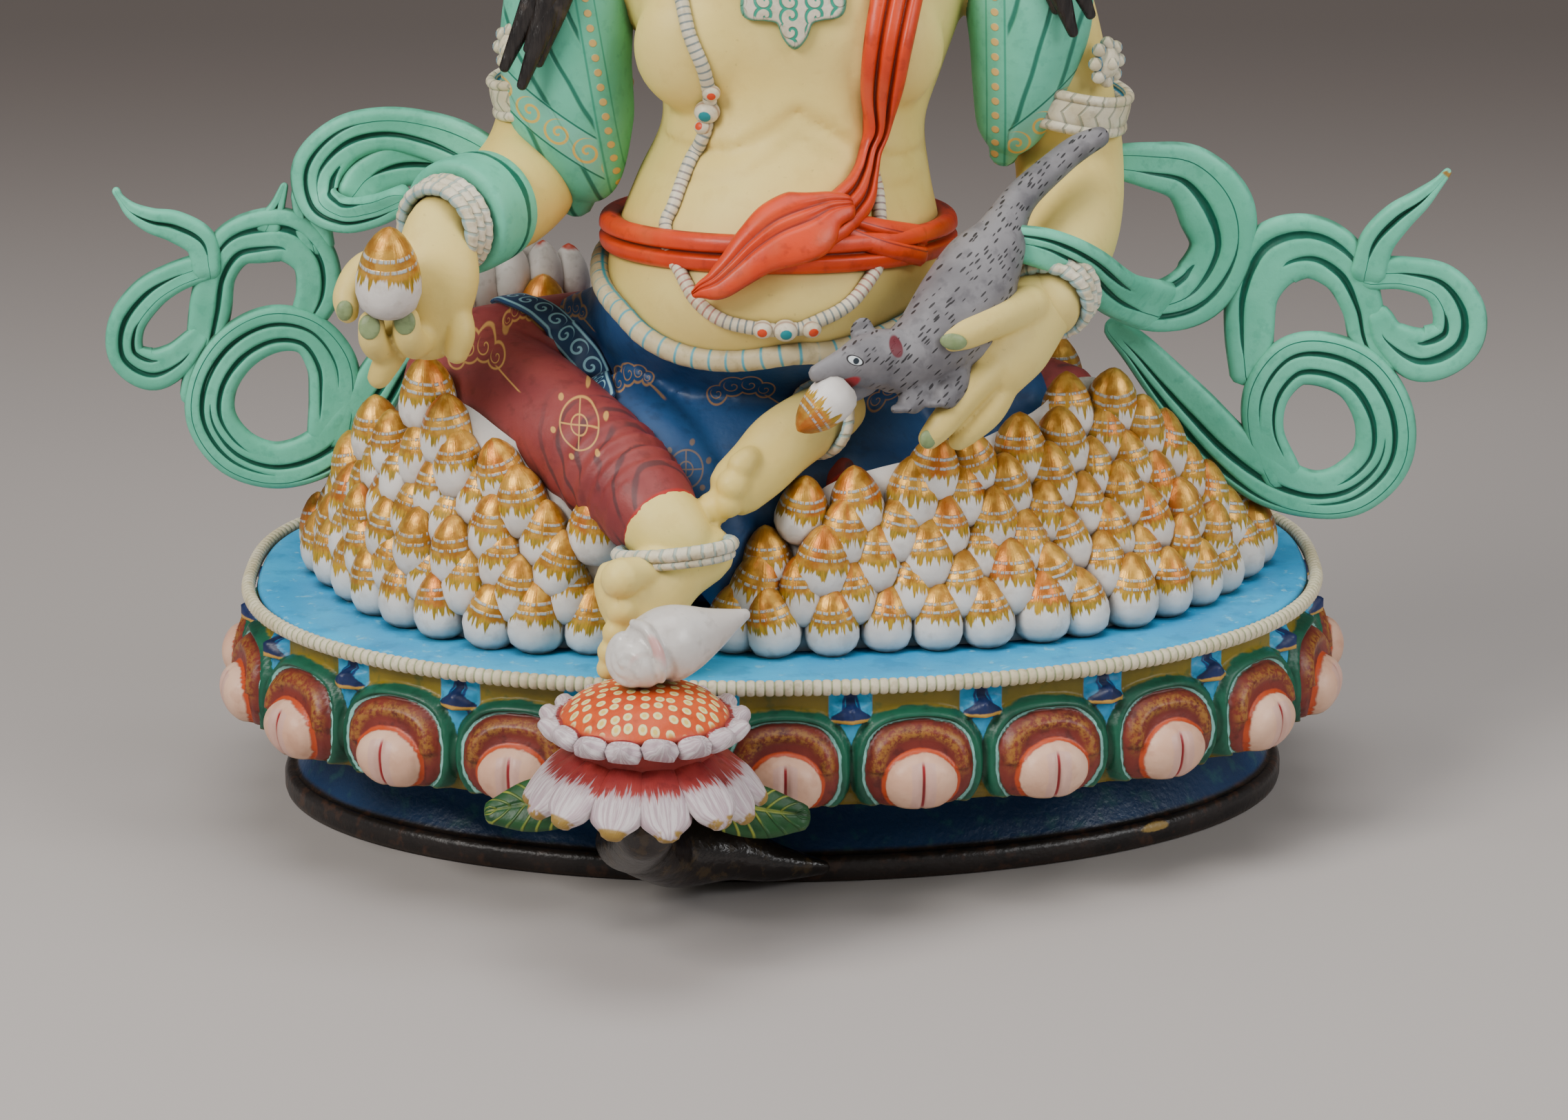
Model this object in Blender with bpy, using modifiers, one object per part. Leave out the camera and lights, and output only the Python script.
# Painted statue of Jambhala seated on an oval lotus throne, between two mounds of jewels.
# Metres, +Z up, +X to the viewer's right, -Y towards the viewer.
# The origin is on the ground, under the middle of the throne.

import bpy
import bmesh
import math
import numpy as np
from mathutils import Euler
from mathutils import Matrix

# Foot board: a low oval board, wider than it is deep.
FOOT_HALF_WIDTH = 0.110
FOOT_FRONT = 0.070
FOOT_BACK = 0.054
FOOT_CENTRE_Y = 0.018
FOOT_EDGE_HEIGHT = 0.0055
FOOT_HEIGHT = 0.024
FOOT_TOP_INSET = 0.012
ROOT_RADIUS = 0.0074

# Lotus throne: an oval drum with a ring of petals and a beaded rope round its top.
THRONE_HALF_WIDTH = 0.117
THRONE_FRONT = 0.084
THRONE_BACK = 0.070
THRONE_CENTRE_Y = 0.008
THRONE_HEIGHT = 0.027
THRONE_WAIST_INSET = 0.004
ROPE_RADIUS = 0.0017
PETAL_PITCH = 0.0268
PETAL_BOTTOM = 0.001
PETAL_TOP = 0.0225
PETAL_DEPTH = 0.0062
NUB_DEPTH = 0.0035

# Figure: its own pose and proportions, all shares of its height above the throne.
FIGURE_HEIGHT = 0.261
FIGURE_GRID = 261.0

# Jewels and the mounds that they make, laid out as shares of the throne's half width.
HEAP_GRID = 117.0
JEWEL_WIDTH = 0.0112
JEWEL_HEIGHT = 0.0150
JEWEL_ROW_RISE = 0.0058

# Footrest lotus and conch at the front edge of the throne.
FLOWER_RADIUS = 0.0168
FLOWER_X = -0.0275
FLOWER_OUT = 0.0225
FLOWER_DEPTH = 0.0130
FLOWER_RISE = 0.0020
LOWER_PETALS = 14
UPPER_PETALS = 16
CONCH_LENGTH = 0.025

# Clearances between neighbouring pieces.
REST_GAP = 0.0003
CARVE_GAP = 0.0006

# Fineness of the fused pieces.
VOXEL = 0.0008
FIGURE_TRIANGLES = 3000
THRONE_TRIANGLES = 1600
HEAP_TRIANGLES = 820
WING_TRIANGLES = 440
FLOWER_TRIANGLES = 380
CONCH_TRIANGLES = 130

THRONE_BOTTOM_Z = FOOT_HEIGHT + REST_GAP
THRONE_TOP_Z = THRONE_BOTTOM_Z + THRONE_HEIGHT
SEAT_Z = THRONE_TOP_Z + REST_GAP
UNIT = FIGURE_HEIGHT / FIGURE_GRID
FLOWER_Y = THRONE_CENTRE_Y - THRONE_FRONT - FLOWER_OUT


def empty_scene():
    for item in list(bpy.data.objects):
        bpy.data.objects.remove(item, do_unlink=True)


def collection(name):
    made = bpy.data.collections.new(name)
    bpy.context.scene.collection.children.link(made)
    return made


def paint(name, colour, roughness=0.6):
    made = bpy.data.materials.new(name)
    made.use_nodes = True
    shader = made.node_tree.nodes["Principled BSDF"]
    shader.inputs["Base Color"].default_value = (*colour, 1.0)
    shader.inputs["Roughness"].default_value = roughness
    shader.inputs["Metallic"].default_value = 0.0
    return made


# Curves and closed forms.

def smooth_path(points, steps):
    # A Catmull-Rom curve through rows of numbers; every column is smoothed alike.
    rows = np.array(points, float)
    rows = np.vstack([2 * rows[0] - rows[1], rows, 2 * rows[-1] - rows[-2]])
    made = []
    for i in range(1, len(rows) - 2):
        a, b, c, d = rows[i - 1:i + 3]
        for t in np.arange(steps) / steps:
            made.append(0.5 * (2 * b + (c - a) * t + (2 * a - 5 * b + 4 * c - d) * t ** 2
                               + (3 * b - a - 3 * c + d) * t ** 3))
    made.append(rows[-2])
    return np.array(made)


def unit_rows(vectors):
    return vectors / np.maximum(np.linalg.norm(vectors, axis=1, keepdims=True), 1e-9)


def add_loft(form, rings):
    # Skin a closed body over a list of rings with equal point counts.
    layers = [[form.verts.new(point) for point in ring] for ring in rings]
    faces = []
    for low, high in zip(layers, layers[1:]):
        for i in range(len(low)):
            j = (i + 1) % len(low)
            faces.append(form.faces.new((low[i], low[j], high[j], high[i])))
    faces.append(form.faces.new(layers[0][::-1]))
    faces.append(form.faces.new(layers[-1]))
    bmesh.ops.recalc_face_normals(form, faces=faces)


def path_frames(centres, facing):
    tangents = unit_rows(np.gradient(centres, axis=0))
    sides = unit_rows(np.cross(tangents, np.broadcast_to(facing, centres.shape)))
    return tangents, sides, unit_rows(np.cross(sides, tangents))


def add_limb(form, stations, facing=(0, -1, 0), steps=4, sides=14):
    # A round or oval limb: each station is x, y, z, half width and half depth, ends rounded.
    rows = smooth_path(stations, steps)
    centres, widths, depths = rows[:, :3], rows[:, 3], rows[:, 4]
    tangents, across, outward = path_frames(centres, facing)
    turns = np.linspace(0, 2 * math.pi, sides, endpoint=False)[:, None]
    rings = [(centres[i], i, 1.0) for i in range(len(rows))]
    for angle in np.radians((28, 55, 80)):
        for end, direction in ((0, -1), (-1, 1)):
            reach = direction * min(widths[end], depths[end]) * math.sin(angle)
            cap = (centres[end] + tangents[end] * reach, end, math.cos(angle))
            rings.insert(0 if end == 0 else len(rings), cap)
    add_loft(form, [
        centre + scale * (np.cos(turns) * across[i] * widths[i] + np.sin(turns) * outward[i] * depths[i])
        for centre, i, scale in rings])


def add_ribbon(form, stations, facing=(0, -1, 0), flutes=2, groove=0.45, steps=6, columns=13):
    # A fluted ribbon: each station is x, y, z, half width and half thickness.
    rows = smooth_path(stations, steps)
    centres, widths, depths = rows[:, :3], rows[:, 3], rows[:, 4]
    _, across, outward = path_frames(centres, facing)
    u = np.linspace(-1, 1, columns)
    edge = np.sqrt(np.maximum(1 - np.abs(u) ** 5, 0.04))
    front = edge * (1 - groove * (0.5 - 0.5 * np.cos(2 * math.pi * flutes * (u + 1) / 2)))
    back_u = np.linspace(1, -1, 5)[1:-1]
    section = np.vstack([np.column_stack([u, front]), np.column_stack([back_u, -np.ones(3)])])
    add_loft(form, [
        centres[i] + section[:, :1] * across[i] * widths[i] + section[:, 1:] * outward[i] * depths[i]
        for i in range(len(rows))])


def add_ball(form, centre, radii, turn=(0, 0, 0)):
    place = Matrix.Translation(centre) @ Euler([math.radians(a) for a in turn]).to_matrix().to_4x4()
    stretch = Matrix.Diagonal((*radii, 1.0))
    bmesh.ops.create_uvsphere(form, u_segments=16, v_segments=10, radius=1.0, matrix=place @ stretch)


JEWEL_PROFILE = ((0.0, 0.45), (0.08, 0.76), (0.24, 0.97), (0.40, 1.0),
                 (0.58, 0.92), (0.76, 0.68), (0.91, 0.34), (1.0, 0.06))


def add_jewel(form, base, width, height, lean=(0.0, 0.0), sides=8):
    # A pointed ovoid; lean is how far its tip moves sideways.
    turns = np.linspace(0, 2 * math.pi, sides, endpoint=False)
    circle = np.column_stack([np.cos(turns), np.sin(turns), np.zeros(sides)])
    add_loft(form, [
        np.array(base) + circle * share * width / 2
        + np.array((lean[0] * up, lean[1] * up, height * up))
        for up, share in JEWEL_PROFILE])


# Objects, fusing and parting.

def link(name, form, group, material):
    mesh = bpy.data.meshes.new(name)
    form.normal_update()
    form.to_mesh(mesh)
    form.free()
    mesh.materials.append(material)
    made = bpy.data.objects.new(name, mesh)
    group.objects.link(made)
    return made


def placed(form):
    # From the sculptor's grid to metres, standing on the throne.
    bmesh.ops.scale(form, vec=(UNIT, UNIT, UNIT), verts=form.verts)
    bmesh.ops.translate(form, vec=(0, 0, SEAT_Z), verts=form.verts)
    return form


def evaluated_mesh(item):
    graph = bpy.context.evaluated_depsgraph_get()
    return bpy.data.meshes.new_from_object(item.evaluated_get(graph), depsgraph=graph)


def settle(item):
    # Keep the result of the modifiers, and of that only the largest body.
    mesh = evaluated_mesh(item)
    item.modifiers.clear()
    form = bmesh.new()
    form.from_mesh(mesh)
    bmesh.ops.triangulate(form, faces=form.faces)
    bmesh.ops.dissolve_degenerate(form, dist=1e-6, edges=form.edges)
    bmesh.ops.triangulate(form, faces=form.faces)
    left = set(form.verts)
    bodies = []
    while left:
        stack = [left.pop()]
        body = []
        while stack:
            vert = stack.pop()
            body.append(vert)
            for edge in vert.link_edges:
                other = edge.other_vert(vert)
                if other in left:
                    left.remove(other)
                    stack.append(other)
        bodies.append(body)
    bodies.sort(key=len, reverse=True)
    for body in bodies[1:]:
        bmesh.ops.delete(form, geom=body, context="VERTS")
    form.to_mesh(mesh)
    form.free()
    old = item.data
    item.data = mesh
    bpy.data.meshes.remove(old)


def fuse(item, triangles, voxel=VOXEL, rounds=2):
    # One skin over all overlapping forms, softened and then thinned to a number of triangles.
    skin = item.modifiers.new("One skin", "REMESH")
    skin.mode = "VOXEL"
    skin.voxel_size = voxel
    soften = item.modifiers.new("Soften", "SMOOTH")
    soften.factor = 0.5
    soften.iterations = rounds
    settle(item)
    thin = item.modifiers.new("Thin", "DECIMATE")
    thin.ratio = min(1.0, triangles / len(item.data.polygons))
    settle(item)


def boolean(item, other, operation):
    cut = item.modifiers.new(operation.title(), "BOOLEAN")
    cut.operation = operation
    cut.object = other
    settle(item)


def slab(low, high, cutters):
    form = bmesh.new()
    bmesh.ops.create_cube(form, size=1.0)
    bmesh.ops.scale(form, vec=(1.0, 1.0, high - low), verts=form.verts)
    bmesh.ops.translate(form, vec=(0, 0, (low + high) / 2), verts=form.verts)
    made = bpy.data.objects.new("slab", bpy.data.meshes.new("slab"))
    form.to_mesh(made.data)
    form.free()
    cutters.objects.link(made)
    made.hide_render = True
    made.display_type = "WIRE"
    return made


def part_from(item, neighbour, cutters, gap=CARVE_GAP):
    # Cut a piece back where it meets a neighbour, leaving the clearance.
    grown = bpy.data.objects.new(neighbour.name + "_clearance", neighbour.data.copy())
    cutters.objects.link(grown)
    grown.hide_render = True
    grown.display_type = "WIRE"
    swell = grown.modifiers.new("Clearance", "DISPLACE")
    swell.strength = gap
    swell.mid_level = 0.0
    boolean(item, grown, "DIFFERENCE")


# Ovals of the foot board and the throne.

def oval(angles, half_width, front, back, centre_y, front_power=1.75, back_power=3.0):
    # A rounded oval whose front half and back half bend differently; angle 0 is the front middle.
    side = np.sin(angles)
    forward = np.cos(angles)
    power = np.where(forward >= 0, front_power, back_power)
    depth = np.where(forward >= 0, front, back)
    x = half_width * np.sign(side) * np.abs(side) ** (2 / power)
    y = centre_y - depth * np.sign(forward) * np.abs(forward) ** (2 / power)
    return np.column_stack([x, y])


def even_angles(count, **shape):
    # Angles that space the points of an oval evenly along its edge.
    fine = np.linspace(0, 2 * math.pi, 4001)
    edge = oval(fine, **shape)
    run = np.concatenate([[0], np.cumsum(np.linalg.norm(np.diff(edge, axis=0), axis=1))])
    return np.interp(np.arange(count) / count * run[-1], run, fine), run[-1]


def foot_board(group, cutters, material):
    shape = dict(front_power=2.05, back_power=3.0, centre_y=FOOT_CENTRE_Y)
    angles, _ = even_angles(48, half_width=FOOT_HALF_WIDTH, front=FOOT_FRONT, back=FOOT_BACK, **shape)
    edge = FOOT_EDGE_HEIGHT
    cove = FOOT_HEIGHT - edge
    levels = ((0.0012, 0.0), (0.0, 0.0012), (0.0, edge - 0.001), (0.001, edge),
              (0.004, edge + 0.12 * cove), (FOOT_TOP_INSET * 0.7, edge + 0.45 * cove),
              (FOOT_TOP_INSET, FOOT_HEIGHT))
    rings = []
    for inset, z in levels:
        flat = oval(angles, half_width=FOOT_HALF_WIDTH - inset, front=FOOT_FRONT - inset,
                    back=FOOT_BACK - inset, **shape)
        rings.append(np.column_stack([flat, np.full(len(flat), z)]))
    form = bmesh.new()
    add_loft(form, rings)
    board = link("foot_board", form, group, material)
    # The lotus root swells out of the board and rises to the footrest.
    front = FOOT_CENTRE_Y - FOOT_FRONT
    reach = front - FLOWER_Y
    thick = ROOT_RADIUS
    x = FLOWER_X
    root = bmesh.new()
    add_limb(root, [(x + 4.6 * thick, front + 1.6 * thick, 0.5 * thick, 0.45 * thick, 0.45 * thick),
                    (x + 3.2 * thick, front + 0.6 * thick, 0.9 * thick, 0.7 * thick, 0.7 * thick),
                    (x + 1.8 * thick, front - 0.15 * reach, 1.4 * thick, 0.9 * thick, 0.9 * thick),
                    (x + 0.9 * thick, front - 0.45 * reach, FOOT_HEIGHT - 1.1 * thick, thick, thick),
                    (x + 0.2 * thick, front - 0.84 * reach, FOOT_HEIGHT - 0.3 * thick,
                     0.85 * thick, 0.85 * thick),
                    (x, FLOWER_Y, FOOT_HEIGHT + 0.9 * thick, 0.8 * thick, 0.8 * thick)],
             facing=(0, 0, 1), sides=10, steps=2)
    stalk = link("root_form", root, cutters, material)
    boolean(board, stalk, "UNION")
    stalk.hide_render = True
    stalk.display_type = "WIRE"
    boolean(board, slab(0.0, 0.2, cutters), "INTERSECT")
    return board


def petal_relief(u, v):
    # Outward height of the petals over one pitch: u runs -1 to 1 across, v -1 to 1 upwards.
    pad = np.maximum(1 - np.abs(u * 1.02) ** 2.4 - np.abs(v) ** 2.6, 0) ** 0.42
    swell = 0.62 + 0.38 * np.cos(0.5 * math.pi * np.clip(v + 0.25, -1, 1))
    nub = np.maximum(1 - (u / 0.46) ** 2 - ((v + 0.30) / 0.56) ** 2, 0) ** 0.5
    crease = np.exp(-(u / 0.07) ** 2) * nub
    return PETAL_DEPTH * pad * swell + NUB_DEPTH * (nub - 0.35 * crease)


def lotus_throne(group, cutters, material):
    shape = dict(half_width=THRONE_HALF_WIDTH, front=THRONE_FRONT, back=THRONE_BACK,
                 centre_y=THRONE_CENTRE_Y)
    _, edge_length = even_angles(4, **shape)
    petals = round(edge_length / PETAL_PITCH)
    per_petal = 14
    angles, _ = even_angles(petals * per_petal, **shape)
    across = np.arange(petals * per_petal) / per_petal
    u = 2 * (across - np.round(across))
    top = THRONE_HEIGHT
    waist = THRONE_WAIST_INSET
    rope_z = top - 0.5 * ROPE_RADIUS
    wall = [(-0.014, 0.0), (-0.010, 0.0), (-waist, 0.0008)]
    wall += [(-waist * (0.75 + 0.25 * abs(t)), PETAL_BOTTOM + (PETAL_TOP - PETAL_BOTTOM) * (t + 1) / 2)
             for t in np.linspace(-1, 1, 15)[1:-1]]
    wall += [(-waist, PETAL_TOP + 0.0003), (-waist * 0.9, rope_z - 1.6 * ROPE_RADIUS)]
    wall += [(ROPE_RADIUS * (math.cos(a) - 0.7), rope_z + ROPE_RADIUS * math.sin(a))
             for a in np.radians((-110, -60, 0, 50, 95))]
    wall += [(-2.2 * ROPE_RADIUS, top), (-0.012, top)]
    rings = []
    for out, z in wall:
        v = 2 * (z - PETAL_BOTTOM) / (PETAL_TOP - PETAL_BOTTOM) - 1
        flat = oval(angles, half_width=THRONE_HALF_WIDTH + out, front=THRONE_FRONT + out,
                    back=THRONE_BACK + out, centre_y=THRONE_CENTRE_Y)
        if abs(v) < 1:
            height = petal_relief(u, v)
            rim = np.roll(flat, -1, axis=0) - np.roll(flat, 1, axis=0)
            normal = unit_rows(np.column_stack([-rim[:, 1], rim[:, 0]]))
            normal *= np.sign(np.sum(normal * (flat - np.array((0, THRONE_CENTRE_Y))), axis=1))[:, None]
            flat = flat + normal * height[:, None]
        rings.append(np.column_stack([flat, np.full(len(flat), z + THRONE_BOTTOM_Z)]))
    form = bmesh.new()
    add_loft(form, rings)
    drum = link("lotus_throne", form, group, material)
    thin = drum.modifiers.new("Thin", "DECIMATE")
    thin.ratio = THRONE_TRIANGLES / (2 * petals * per_petal * len(wall))
    settle(drum)
    boolean(drum, slab(THRONE_BOTTOM_Z, THRONE_TOP_Z + 2 * ROPE_RADIUS, cutters), "INTERSECT")
    return drum


# The figure, in grid units of about a millimetre, z from the throne's top.

TORSO = ((36, -4, 14, 40, 34), (50, -3, 6, 38, 38), (60, -3, 0, 37, 44), (70, -2, -5, 35.5, 43),
         (80, -1, -6, 33.5, 38), (90, 0, -5, 30.5, 32), (101, 2, -3, 27.5, 26), (112, 3, -2, 30, 25),
         (124, 2, -2, 35, 26), (138, 1, 0, 39, 24), (150, 1, 1, 34, 18), (157, 1, 2, 20, 14),
         (164, 1, 0, 12, 12), (174, 1, -2, 12, 12))


def on_torso(x, z, lift=0.0):
    # The point of the torso's front skin at a given width and height, raised by lift.
    rows = np.array(TORSO, float)
    cx, cy, rx, ry = [np.interp(z, rows[:, 0], rows[:, i]) for i in (1, 2, 3, 4)]
    share = min(0.985, abs((x - cx) / rx))
    return (x, cy - (ry + lift) * math.sqrt(1 - share * share), z)


def round_torso(degrees, z, lift=0.0):
    # The point of the torso's skin at an angle from the front, at a height.
    rows = np.array(TORSO, float)
    cx, cy, rx, ry = [np.interp(z, rows[:, 0], rows[:, i]) for i in (1, 2, 3, 4)]
    angle = math.radians(degrees)
    return (cx + (rx + lift) * math.sin(angle), cy - (ry + lift) * math.cos(angle), z)


def torso_and_head(form):
    turns = np.linspace(0, 2 * math.pi, 32, endpoint=False)
    rings = []
    for z, cx, cy, rx, ry in smooth_path(TORSO, 4):
        rings.append(np.column_stack([cx + rx * np.cos(turns), cy + ry * np.sin(turns),
                                      np.full(32, z)]))
    add_loft(form, rings)
    for side in (-1, 1):
        add_ball(form, (1 + 16 * side, -17, 119), (16, 10, 15))
        add_ball(form, (1 + 20.5 * side, 1, 184), (3, 5, 9))
        add_ball(form, (1 + 23 * side, -2, 171), (5, 3, 6))
    add_ball(form, (1, -3, 190), (20, 21, 25))
    add_ball(form, (1, -8, 177), (14, 13, 11))
    add_limb(form, [(1, -23, 194, 2, 2), (1, -26, 187, 2.8, 2.6), (1, -26, 184, 3.6, 2.8)])
    add_ball(form, (1, -20.5, 176), (6, 3.2, 2.2))
    add_ball(form, (1, 2, 205), (19, 20, 14))
    for k in range(5):
        angle = math.radians(-64 + 32 * k)
        at = (1 + 20.5 * math.sin(angle), -1 - 20.5 * math.cos(angle), 211)
        add_ball(form, at, (6.5, 3, 13 - abs(k - 2)), (0, 0, math.degrees(angle)))
    add_limb(form, [(1 - 20, 0, 202, 2.5, 3.5), (1 - 14, -16, 202, 2.5, 3.5), (1, -24, 202, 2.5, 3.5),
                    (1 + 14, -16, 202, 2.5, 3.5), (1 + 20, 0, 202, 2.5, 3.5)], facing=(0, 0, 1))
    add_limb(form, [(1, 3, 214, 11, 11), (1, 3, 228, 8, 8), (1, 3, 238, 9, 9), (1, 3, 246, 6, 6)])
    add_jewel(form, (1, 3, 246), 9, 15)


def arms_and_hands(form):
    add_limb(form, [(-37, 0, 143, 12, 13), (-43, 0, 128, 12, 13), (-47, 0, 108, 11.5, 12),
                    (-51, -2, 93, 11.5, 11.5), (-58, -14, 86, 11, 11), (-70, -33, 85, 8, 8)])
    add_limb(form, [(40, 0, 143, 13, 13), (50, 1, 128, 13, 13), (56, 2, 108, 12.5, 12.5),
                    (60, 2, 92, 11.5, 11.5), (59, -12, 79, 11, 11), (54, -33, 69, 8, 8)])
    # The open hand with its jewel.
    add_limb(form, [(-70, -35, 84, 7.5, 5), (-71, -41, 75, 9, 5), (-72, -42, 68, 8, 4.5)])
    for root, tip in (((-76, -41, 69), (-82, -46, 59)), ((-72, -42, 68), (-75.5, -45, 60)),
                      ((-67, -41, 69), (-67, -42, 60)), ((-79, -41, 76), (-88, -46, 71))):
        middle = ((root[0] + tip[0]) / 2 - 1, (root[1] + tip[1]) / 2 - 2, (root[2] + tip[2]) / 2)
        add_limb(form, [(*root, 3, 3), (*middle, 2.8, 2.8), (*tip, 2.3, 2.3)], sides=8)
    add_jewel(form, (-80, -50, 71), 13, 18, sides=12)
    # The hand that holds the mongoose.
    add_limb(form, [(53, -35, 69, 7.5, 5), (47, -43, 63, 9, 5), (43, -48, 59, 8, 5)])
    for root, tip in (((48, -43, 67), (34, -54, 67)), ((43, -49, 60), (30, -57, 54)),
                      ((43, -49, 56), (29, -56, 47)), ((45, -47, 54), (36, -53, 45))):
        add_limb(form, [(*root, 3.2, 3.2), (*tip, 2.4, 2.4)], sides=8)
    for centre, along in (((-67, -29, 85), (-0.42, -0.86, -0.05)), ((55, -30, 71), (-0.25, -0.90, -0.35))):
        direction = np.array(along) / np.linalg.norm(along)
        points = [np.array(centre) + direction * step for step in (-2.5, 0, 2.5)]
        add_limb(form, [(*point, 10, 10) for point in points], steps=2)
    # The scarf's end laid over the right forearm.
    add_ribbon(form, [(64.5, -20, 70.5, 5, 3), (62.4, -23, 72.8, 4.7, 3), (55.3, -32, 78.8, 4.1, 3),
                      (49, -35.5, 81.3, 3.6, 3), (43.5, -38, 82.2, 2.7, 2.6)], flutes=1)


def sleeves_and_hair(form):
    add_limb(form, [(-38, 0, 149, 12, 13), (-43, -1, 132, 13, 15), (-45, -3, 114, 13, 15),
                    (-43, -5, 99, 12.5, 13), (-42, -6, 89, 9, 9), (-43, -6, 82, 3, 4)], steps=4)
    add_limb(form, [(41, 0, 149, 12, 13), (49, -1, 137, 13, 15), (51, -3, 121, 13, 15),
                    (49, -5, 108, 10, 13), (47, -6, 99, 7, 9), (46, -6, 93, 3, 4)], steps=4)
    add_limb(form, [(-41, 6, 150, 10, 8), (-20, 16, 155, 12, 8), (1, 19, 156, 13, 8),
                    (22, 16, 155, 12, 8), (43, 6, 150, 10, 8)], facing=(0, 0, 1))
    for side, x in ((-1, -47), (1, 56)):
        for step, spread in enumerate((-3.5, 0, 3.5)):
            add_limb(form, [(18 * side, 8, 178, 3.4, 3.4), (34 * side, 1, 164, 3.6, 3.6),
                            (x + 4 * side * -1 + spread, -13, 146, 3.2, 3.2),
                            (x + spread, -17, 128 - 4 * step, 1.8, 1.8)], sides=8)
    # Hair down the back.
    add_limb(form, [(1, 14, 196, 14, 8), (1, 20, 172, 15, 7), (1, 25, 148, 12, 5), (1, 24, 128, 7, 3)])
    # Armlets: a roll with a rosette on the outer side.
    for x, z in ((-47, 110), (56, 107)):
        side = math.copysign(1, x)
        ring = [(x + 13.5 * math.sin(a), 14.5 * -math.cos(a), z - 4 * side * math.sin(a), 2.2, 3)
                for a in np.linspace(0, 2 * math.pi, 13)]
        add_limb(form, ring, facing=(0, 0, 1), steps=2, sides=8)
        add_ball(form, (x + side * 12, -6, z + 8), (3, 6, 6))


def legs_and_skirt(form):
    add_limb(form, [(-18, 12, 38, 23, 25), (-46, 4, 41, 21, 20), (-64, -3, 42, 17, 18)], facing=(0, 0, 1))
    add_limb(form, [(-65, -7, 43, 16, 16), (-53, -23, 42, 14, 14), (-39, -40, 37.5, 12, 12),
                    (-25, -60, 29.5, 9.3, 9.3)])
    add_limb(form, [(20, 14, 32, 21, 22), (44, 12, 32, 17, 17), (58, 7, 33, 12, 13)], facing=(0, 0, 1))
    add_limb(form, [(48, -2, 24, 10, 10), (30, -17, 23, 10, 10), (12, -33, 29, 8.5, 8.5)])
    add_ball(form, (-9, -6, 26), (43, 38, 28))
    add_ball(form, (0, 20, 24), (46, 34, 26))
    # The lowered foot lies on its side, toes to the left, one above the other.
    add_limb(form, [(-18, -61, 24, 7, 7), (-22, -65.5, 20.7, 7, 7), (-27, -71, 18, 9, 7), (-31, -75, 15.8, 11.3, 6)],
             facing=(0, -1, 0))
    for x, z, r in ((-32.6, 23.6, 4.2), (-32.4, 17.2, 3.3), (-33.6, 12.3, 3.0), (-34.8, 8.2, 2.8), (-35.4, 4.6, 2.4)):
        add_limb(form, [(x + 3, -76, z, r, r), (x, -79.5, z, r, r)], sides=8)
    anklet = [(-22 + 11.5 * math.sin(a), -65 - 9.5 * math.cos(a), 27 - math.sin(a), 1.5, 1.8)
              for a in np.linspace(0, 2 * math.pi, 13)]
    add_limb(form, anklet, facing=(0, 0, 1), steps=2, sides=8)
    # The folded foot, toes in a slanting row.
    add_limb(form, [(8, -37, 45, 6.5, 6), (0, -46, 42.5, 7.2, 6), (-5, -51, 38, 7, 5)])
    for x, y, z, r in ((-13.6, -57, 31.6, 3.1), (-10.4, -56, 33.8, 2.8), (-8.2, -55.5, 37.2, 3.4),
                       (-7, -54, 41, 2.8)):
        add_ball(form, (x, y, z), (r, r, r))


def sash_belt_and_beads(form):
    band = [(*round_torso(a, 82 - 3 * math.cos(math.radians(a)), 2.0), 4.6, 2.6)
            for a in range(-180, 181, 15)]
    facing = np.array([round_torso(a, 82, 1.0) for a in range(-180, 181, 15)])
    facing = facing - np.array((-1, -6, 82))
    add_ribbon(form, band, facing=smooth_path(facing, 3), flutes=2, steps=3, columns=9)
    # The strip from the shoulder, its knot and its leaf-shaped end.
    strip = [(24, 150), (23, 138), (22, 128), (20, 112), (17.5, 99), (12, 93), (3, 87)]
    widths = (6, 6, 5.5, 5, 3.6, 4.6, 5)
    add_ribbon(form, [(*on_torso(x, z, 2.5), w, 2.6) for (x, z), w in zip(strip, widths)],
               facing=(0.2, -1, 0.1), flutes=3, steps=4)
    leaf = [(8, 90, 3.5), (2, 87, 7), (-5, 80, 7.5), (-11, 75, 4.5), (-16, 72, 1.2)]
    add_ribbon(form, [(*on_torso(x, z, 4.0), w, 2.4) for x, z, w in leaf],
               facing=(0, -1, 0.1), flutes=2, steps=4)
    roll = [(*round_torso(a, 57 + 17 * (1 - math.cos(math.radians(a * 0.95))), 1.0), 3.4, 3.4)
            for a in range(-85, 86, 17)]
    add_limb(form, roll, facing=(0, 0, 1), steps=2, sides=10)
    beads = [(-21, 131), (-19, 122), (-15.5, 110), (-16.5, 101), (-20, 94), (-23, 87), (-23, 80),
             (-19, 73), (-12, 68), (-3, 66.5), (6, 67.5), (13, 71), (18, 77), (19, 86), (19, 96)]
    add_limb(form, [(*on_torso(x, z, 1.0), 1.7, 1.7) for x, z in beads], sides=8, steps=2)
    for x, z, r in ((-15.5, 107, 3.2), (1, 66.5, 2.8)):
        add_ball(form, on_torso(x, z, 1.5), (r, r, r))
    collar = [(-24, 155), (-13, 150), (1.5, 148), (16, 150), (27, 155)]
    add_limb(form, [(*on_torso(x, z, 1.0), 3.4, 2.4) for x, z in collar], sides=8, steps=3)
    add_ball(form, on_torso(2, 133, 0.0), (10, 3.0, 12))


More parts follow.
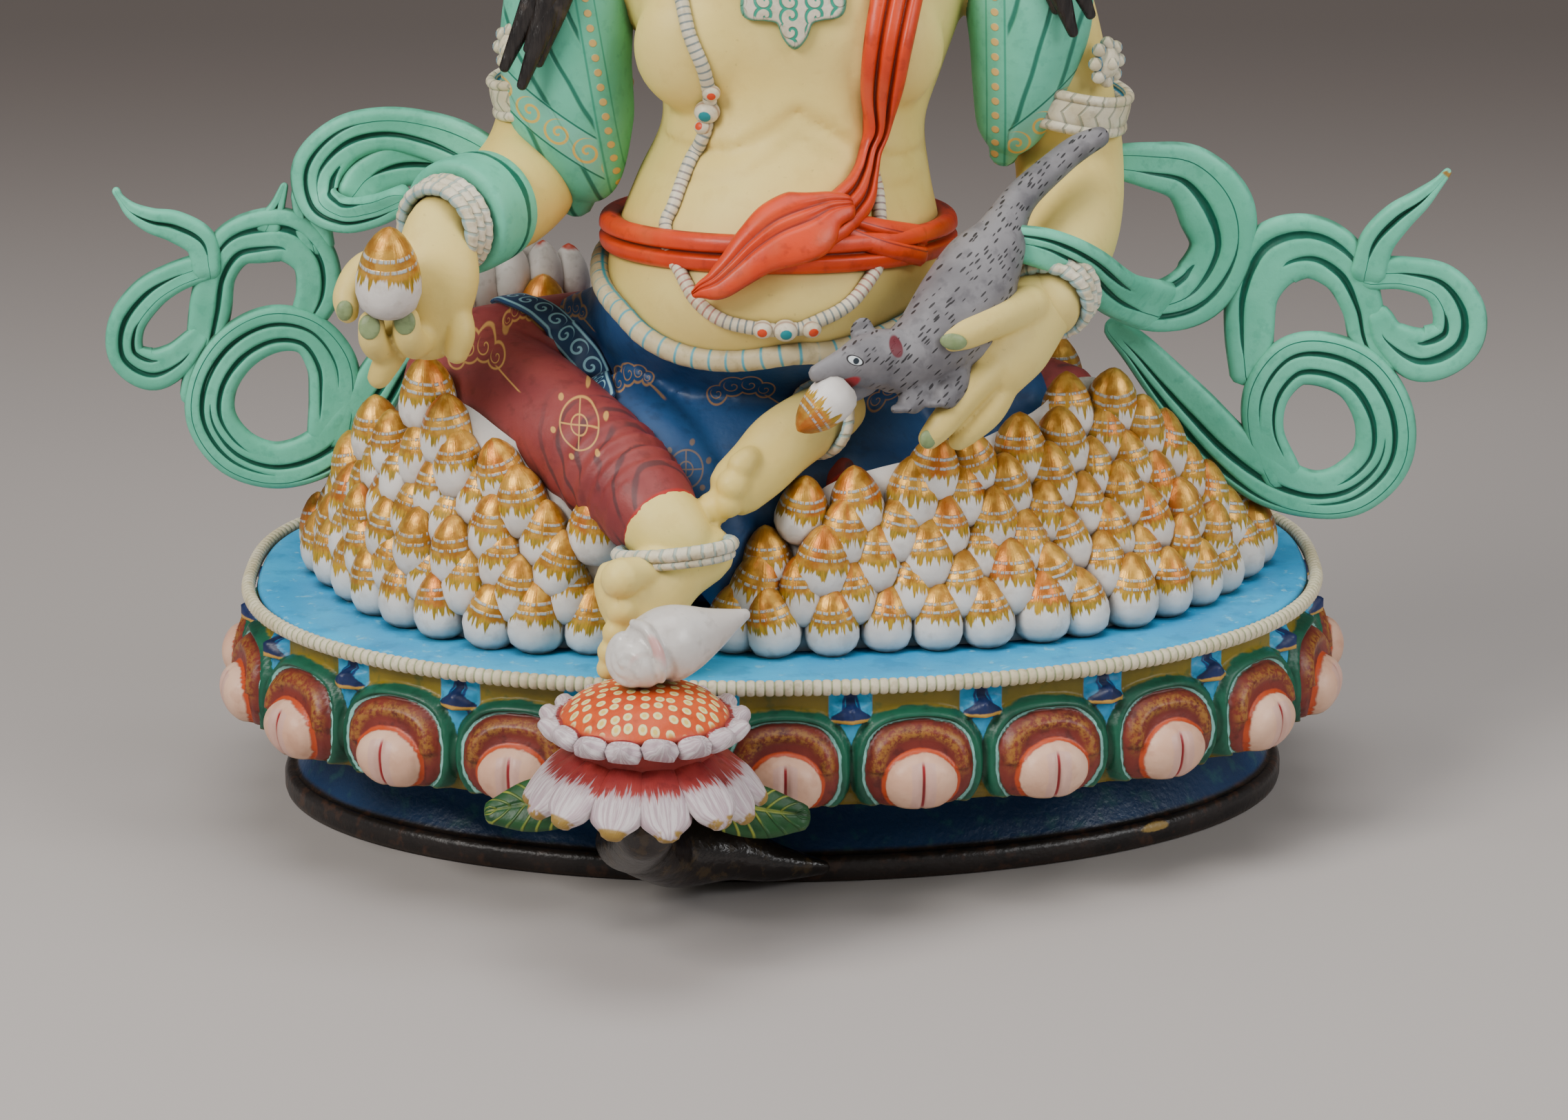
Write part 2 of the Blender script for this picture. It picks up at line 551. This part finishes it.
def mongoose(form):
    add_limb(form, [(65, -18, 100, 2.4, 2.4), (57, -22, 96, 3, 3), (49, -30, 90.5, 3.6, 3.6),
                    (44.5, -36, 85.4, 5, 5), (40, -42, 78, 8.6, 8), (35, -47, 70.5, 9, 8.4),
                    (29, -52, 64, 8, 8), (23, -57, 62, 6.8, 6.6), (17, -60.5, 61, 5.8, 5.6),
                    (11, -64.5, 59.5, 3.8, 3.8), (7, -67, 58.7, 2.4, 2.6)])
    for x, y, z in ((16, -58, 66), (22.5, -55, 64.5)):
        add_ball(form, (x, y, z), (2.4, 1.6, 2.8))
    for x, y, z in ((24, -58, 54), (34, -56, 54)):
        add_limb(form, [(x + 4, y + 6, z + 6, 4.5, 4.5), (x, y, z, 3, 3), (x - 3, y - 2, z - 1, 2.2, 2)], sides=8)
    add_jewel(form, (8, -66, 52), 6, 9)


def figure(group, cutters, material):
    form = bmesh.new()
    torso_and_head(form)
    arms_and_hands(form)
    sleeves_and_hair(form)
    legs_and_skirt(form)
    sash_belt_and_beads(form)
    mongoose(form)
    made = link("figure", placed(form), group, material)
    fuse(made, FIGURE_TRIANGLES)
    boolean(made, slab(SEAT_Z, SEAT_Z + 2 * FIGURE_HEIGHT, cutters), "INTERSECT")
    return made


# Heaps of jewels. A spoke is the foot of the mound and the tip of its crest along one line:
# foot x, foot y, crest x, crest y, crest height, as the mound goes round from front to back.

RIGHT_SPOKES = ((-5, -44, 3, -45, 40), (4, -51, 9, -45, 44), (21, -51, 20, -42, 46),
                (39, -49, 36, -35, 48), (56, -44, 52, -21, 52), (70, -36, 61, -9, 56),
                (80, -27, 70, -5, 54), (89, -16, 78, 0, 45), (96, -5, 87, 4, 35),
                (101, 8, 91, 10, 27), (99, 22, 86, 14, 30), (88, 36, 74, 16, 42),
                (70, 41, 62, 16, 50), (50, 40, 50, 18, 50))
LEFT_SPOKES = ((-37, -51, -36.5, -50, 33), (-47, -52, -42.5, -48, 41), (-58, -49, -50, -43.5, 47.5),
               (-69, -43, -58.5, -38.5, 53), (-78, -35, -66, -33, 57), (-86, -23, -75, -24, 57),
               (-93, -9, -84, -10, 46), (-99, 8, -90, 5, 33), (-97, 24, -85, 16, 38),
               (-87, 37, -72, 24, 52), (-70, 43, -60, 28, 62), (-52, 42, -50, 26, 62))


def heap_rows(spokes, unit):
    # Places of the jewels' bases, row above row, each row shifted by half a jewel.
    rows = np.array(spokes, float) * unit
    crest = np.maximum(rows[:, 4] - JEWEL_HEIGHT, 0.0)
    places = []
    count = int(np.max(crest) / JEWEL_ROW_RISE) + 1
    for k in range(count):
        z = k * JEWEL_ROW_RISE
        share = np.where(crest > 0, z / np.maximum(crest, 1e-6), 2.0)
        run = []
        for i in range(len(rows) + 1):
            if i < len(rows) and share[i] <= 1.0:
                run.append(rows[i, :2] * (1 - share[i]) + rows[i, 2:4] * share[i])
                continue
            if len(run) > 1:
                line = smooth_path(run, 8)
                along = np.concatenate([[0], np.cumsum(np.linalg.norm(np.diff(line, axis=0), axis=1))])
                number = int(along[-1] / (JEWEL_WIDTH * 0.97))
                start = 0.5 * JEWEL_WIDTH * (k % 2)
                for at in np.linspace(start, along[-1] - 0.5 * JEWEL_WIDTH + start, max(number, 1)):
                    places.append((np.interp(at, along, line[:, 0]), np.interp(at, along, line[:, 1]), z))
            run = []
    return places


def jewel_heap(name, spokes, group, cutters, material):
    unit = THRONE_HALF_WIDTH / HEAP_GRID
    form = bmesh.new()
    rows = np.array(spokes, float) * unit
    crest = np.maximum(rows[:, 4] - 0.75 * JEWEL_HEIGHT, 0.001)
    low = np.column_stack([rows[:, :2], np.full(len(rows), -0.001)])
    high = np.column_stack([rows[:, 2:4], crest])
    add_loft(form, [low, low * 0.65 + high * 0.35, low * 0.3 + high * 0.7, high])
    middle = rows[:, :2].mean(axis=0)
    for x, y, z in heap_rows(spokes, unit):
        out = np.array((x, y)) - middle
        out = out / max(np.linalg.norm(out), 1e-6) * 0.0012
        add_jewel(form, (x, y, z - 0.0008), JEWEL_WIDTH, JEWEL_HEIGHT, lean=-out)
    bmesh.ops.translate(form, vec=(0, 0, SEAT_Z), verts=form.verts)
    made = link(name, form, group, material)
    fuse(made, HEAP_TRIANGLES, voxel=0.0009, rounds=1)
    boolean(made, slab(SEAT_Z, 0.4, cutters), "INTERSECT")
    return made


# Scarf wings: ribbons that curl beside the figure. Stations are x, y, z and half width.
# The first three of a wing carry two flutes, the others one.

WING_HALF_DEPTH = 2.6
LEFT_WING = (
    ((-59.1, -2, 89.9, 4.7), (-67.2, 3, 93, 5.6), (-75.2, 6, 95.4, 5.2), (-84.4, 8, 96.3, 4.8),
     (-92.9, 8, 94, 5.2), (-98.7, 8, 87.6, 5.7), (-98.2, 6, 81.1, 4.8), (-92.8, 2, 79.2, 4.1),
     (-85.9, -6, 81.9, 3.6), (-79.6, -14, 86, 3.1)),
    ((-97.4, 8, 29.2, 5.3), (-96.4, 8, 37.8, 5.7), (-97, 8, 45.5, 5.5), (-101.6, 8, 51.8, 4.8),
     (-109.4, 8, 52.9, 5.3), (-117.3, 8, 48.7, 5.4), (-122.4, 8, 41.1, 5.3), (-123, 8, 32.8, 5.5),
     (-118, 8, 25.6, 5.6), (-109.7, 8, 22.7, 5.3), (-101, 8, 24.9, 5.5), (-93.9, 8, 30.6, 6),
     (-88, 8, 39, 5.7), (-82.6, 8, 47.3, 5), (-76.2, 8, 54.3, 4.1), (-72.1, 8, 57.9, 3.2)),
    ((-126.5, 8, 37.8, 3.4), (-124.5, 8, 47.3, 3.9), (-122.7, 8, 56.7, 4.6), (-121.1, 8, 64.9, 4.3),
     (-117.4, 8, 70.8, 5), (-111.7, 8, 72.9, 5.9), (-105.2, 8, 72.9, 5.9), (-100.1, 8, 67.9, 5),
     (-99.5, 8, 60.8, 4.8), (-102.3, 8, 54.3, 3.7)),
    ((-123.3, 8, 66.7, 3.2), (-130.2, 8, 64, 3.4), (-136, 8, 60.2, 3.9), (-140.6, 8, 53.8, 4),
     (-140.8, 8, 47, 4.1), (-135.7, 8, 43.9, 4.8), (-130.2, 8, 46.1, 3.9), (-125.7, 8, 50.8, 2.7)),
    ((-122.9, 8, 66.1, 3.2), (-124.1, 8, 71.9, 3.6), (-129.2, 8, 75.2, 3.5), (-134.3, 8, 76.6, 2.8),
     (-138.4, 8, 78.7, 1.8), (-140.8, 8, 81.3, 0.9), (-141.7, 8, 82.9, 0.9)),
    ((-66.2, 4, 89.1, 3.4), (-73.1, 6, 89.2, 4.5), (-81.1, 7, 88.7, 5.1), (-87.7, 7, 85.9, 4.8),
     (-91.3, 5, 82.2, 3.9)),
    ((-101.5, 8, 82.2, 3.4), (-100.5, 8, 77.2, 3.9), (-99.8, 8, 70.8, 4.1)),
    ((-109.7, 8, 75.4, 3), (-107.7, 8, 79.5, 1.7), (-106.2, 8, 83.6, 0.9)),
)
RIGHT_WING = (
    ((68.6, 2, 90.8, 3.6), (76.6, 5, 89.3, 5), (85.7, 8, 86.5, 6.6), (91.7, 8, 79, 8.2),
     (93.1, 8, 69.9, 7), (87.8, 6, 61.7, 7.1), (78.9, 0, 60, 5.9), (70.2, -10, 64.6, 5.1),
     (64.5, -20, 70.5, 4.7)),
    ((107.4, 8, 20.5, 4.3), (103.2, 8, 29.9, 4.4), (103.6, 8, 39, 5.1), (108.9, 8, 45.7, 5.8),
     (116.6, 8, 46, 6.1), (124.3, 8, 41.9, 6.2), (129, 8, 33.4, 6.5), (128.7, 8, 24.2, 6.6),
     (122.5, 8, 17.7, 6.4), (114, 8, 16.2, 5.4), (104.6, 8, 19.5, 6), (95.4, 8, 26.5, 6),
     (87.8, 8, 34.6, 5.7), (81.3, 8, 41.9, 4.8), (75.9, 8, 48.1, 3.8), (71.1, 8, 52.9, 2.8)),
    ((100.4, 8, 42.7, 4.8), (99.6, 8, 52.2, 5.4), (100.2, 8, 61.2, 5.9), (104.7, 8, 68.9, 7.6),
     (112.7, 8, 70.5, 7), (119.8, 8, 66, 5.9), (123.5, 8, 58, 4.5), (125.1, 8, 50.7, 4.2),
     (128.1, 8, 44.1, 3.7)),
    ((125, 8, 65, 3.7), (132.3, 8, 65, 3.7), (140.1, 8, 62.7, 4.5), (144.3, 8, 56.3, 5.7),
     (143.4, 8, 50, 6), (136.5, 8, 47.2, 6.2), (129.7, 8, 51, 4), (127.3, 8, 55.4, 2.8)),
    ((124.5, 8, 65.3, 4), (126.1, 8, 71.8, 3.9), (130.2, 8, 77.1, 3.5), (135, 8, 81.1, 2.4),
     (138.6, 8, 84.6, 1.3), (140.6, 8, 87, 0.9)),
)


def scarf_wing(name, ribbons, group, material):
    form = bmesh.new()
    for k, stations in enumerate(ribbons):
        add_ribbon(form, [(*row, WING_HALF_DEPTH) for row in stations], flutes=2 if k < 3 else 1)
    made = link(name, placed(form), group, material)
    fuse(made, WING_TRIANGLES, voxel=0.0007, rounds=1)
    return made


def lotus_footrest(group, material):
    r = FLOWER_RADIUS
    x, y, top = FLOWER_X, FLOWER_Y, THRONE_TOP_Z + FLOWER_RISE
    form = bmesh.new()
    turns = np.linspace(0, 2 * math.pi, 32, endpoint=False)
    circle = np.column_stack([np.cos(turns), np.sin(turns), np.zeros(32)])
    profile = ((0.25, 0.36), (0.55, 0.30), (0.82, 0.16), (0.98, -0.02), (1.02, -0.16), (0.92, -0.36),
               (0.86, -0.60), (0.80, -0.85), (0.60, -1.05), (0.40, -1.2))
    add_loft(form, [np.array((x, y, top)) + circle * share * r + np.array((0, 0, up * r * 0.9))
                    for share, up in profile])
    for k in range(UPPER_PETALS):
        a = 2 * math.pi * k / UPPER_PETALS
        at = (x + 1.06 * r * math.sin(a), y - 1.06 * r * math.cos(a), top - 0.20 * r)
        add_ball(form, at, (0.21 * r, 0.15 * r, 0.20 * r), (20, 0, math.degrees(a)))
    for k in range(LOWER_PETALS):
        a = 2 * math.pi * (k + 0.5) / LOWER_PETALS
        at = (x + 1.10 * r * math.sin(a), y - 1.10 * r * math.cos(a), top - FLOWER_DEPTH + 0.02 * r)
        add_ball(form, at, (0.25 * r, 0.15 * r, 0.52 * r), (-32, 0, math.degrees(a)))
    for side in (-1, 1):
        add_ball(form, (x + 1.25 * side * r, y + 0.30 * r, top - FLOWER_DEPTH - 0.25 * r),
                 (0.85 * r, 0.42 * r, 0.13 * r), (20, 8 * side, -4 * side))
    made = link("lotus_footrest", form, group, material)
    fuse(made, FLOWER_TRIANGLES, voxel=0.0006, rounds=1)
    return made


def conch_shell(group, material):
    size = CONCH_LENGTH
    x, y = FLOWER_X - 0.1 * size, FLOWER_Y + 0.04 * size
    z = THRONE_TOP_Z + FLOWER_RISE + 0.36 * FLOWER_RADIUS * 0.9
    form = bmesh.new()
    add_limb(form, [(x - 0.16 * size, y - 0.10 * size, z + 0.28 * size, 0.10 * size, 0.10 * size),
                    (x - 0.06 * size, y - 0.06 * size, z + 0.27 * size, 0.22 * size, 0.22 * size),
                    (x + 0.12 * size, y, z + 0.30 * size, 0.29 * size, 0.29 * size),
                    (x + 0.42 * size, y + 0.08 * size, z + 0.38 * size, 0.20 * size, 0.20 * size),
                    (x + 0.80 * size, y + 0.22 * size, z + 0.48 * size, 0.06 * size, 0.06 * size)])
    # The coil of the spire, drawn round the apex.
    coil = []
    for k in range(25):
        a = 2 * math.pi * k / 12
        reach = 0.21 * size * (1 - k / 30)
        coil.append((x - 0.10 * size - 0.004 * size * k, y - 0.10 * size - reach * math.cos(a) * 0.5,
                     z + 0.28 * size + reach * math.sin(a), 0.07 * size, 0.07 * size))
    add_limb(form, coil, facing=(-1, -0.3, 0), steps=1, sides=8)
    made = link("conch_shell", form, group, material)
    fuse(made, CONCH_TRIANGLES, voxel=0.0005, rounds=1)
    return made


def build():
    empty_scene()
    parts = collection("jambhala_statue")
    cutters = collection("cutters")
    cutters.hide_render = True
    foot = foot_board(parts, cutters, paint("navy_paint", (0.02, 0.06, 0.14)))
    throne = lotus_throne(parts, cutters, paint("throne_paint", (0.25, 0.09, 0.06)))
    body = figure(parts, cutters, paint("skin_paint", (0.68, 0.55, 0.26)))
    white = paint("jewel_paint", (0.80, 0.70, 0.42), 0.45)
    right = jewel_heap("jewel_heap_right", RIGHT_SPOKES, parts, cutters, white)
    left = jewel_heap("jewel_heap_left", LEFT_SPOKES, parts, cutters, white)
    for heap in (right, left):
        part_from(heap, body, cutters)
    green = paint("scarf_paint", (0.14, 0.50, 0.36))
    for name, ribbons, heap in (("scarf_wing_left", LEFT_WING, left),
                                ("scarf_wing_right", RIGHT_WING, right)):
        wing = scarf_wing(name, ribbons, parts, green)
        part_from(wing, body, cutters)
        part_from(wing, heap, cutters)
    flower = lotus_footrest(parts, paint("flower_paint", (0.62, 0.18, 0.08)))
    conch = conch_shell(parts, paint("conch_paint", (0.82, 0.80, 0.76), 0.35))
    for neighbour in (foot, throne, body):
        part_from(flower, neighbour, cutters)
    for neighbour in (flower, throne, body, right):
        part_from(conch, neighbour, cutters)


build()
